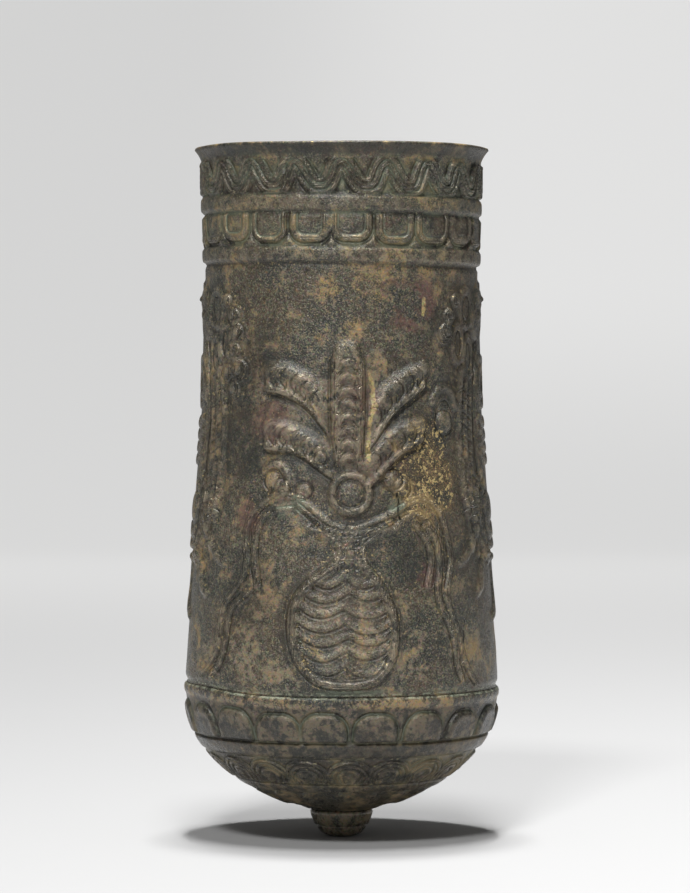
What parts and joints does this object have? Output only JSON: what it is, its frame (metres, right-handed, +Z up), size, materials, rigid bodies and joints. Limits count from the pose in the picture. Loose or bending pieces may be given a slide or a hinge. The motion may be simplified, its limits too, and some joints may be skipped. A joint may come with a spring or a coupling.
{
  "type": "situla",
  "caption": "Tall waisted bronze beaker with a flared lip, bands of relief and a rounded base that ends in a riveted nipple; it holds drink and is carried in the hand.",
  "frame": {"origin": "tip of the nipple, on the vessel's axis", "axes": "+Z up along the axis to the lip, -Y towards the tree on the front"},
  "size_m": [0.0638, 0.0646, 0.14],
  "materials": {
    "wall_bronze": "dark brown patina, waxed, with worn ridges and earth in the hollows",
    "base_bronze": "brown patina with green in the grooves",
    "nipple_bronze": "dark patina, worn smooth"
  },
  "bodies": {
    "root": {"wall": "wall_bronze", "base_bowl": "base_bronze", "nipple_collar": "nipple_bronze", "nipple_stud": "nipple_bronze", "rove": "nipple_bronze"}
  },
  "joints": []
}
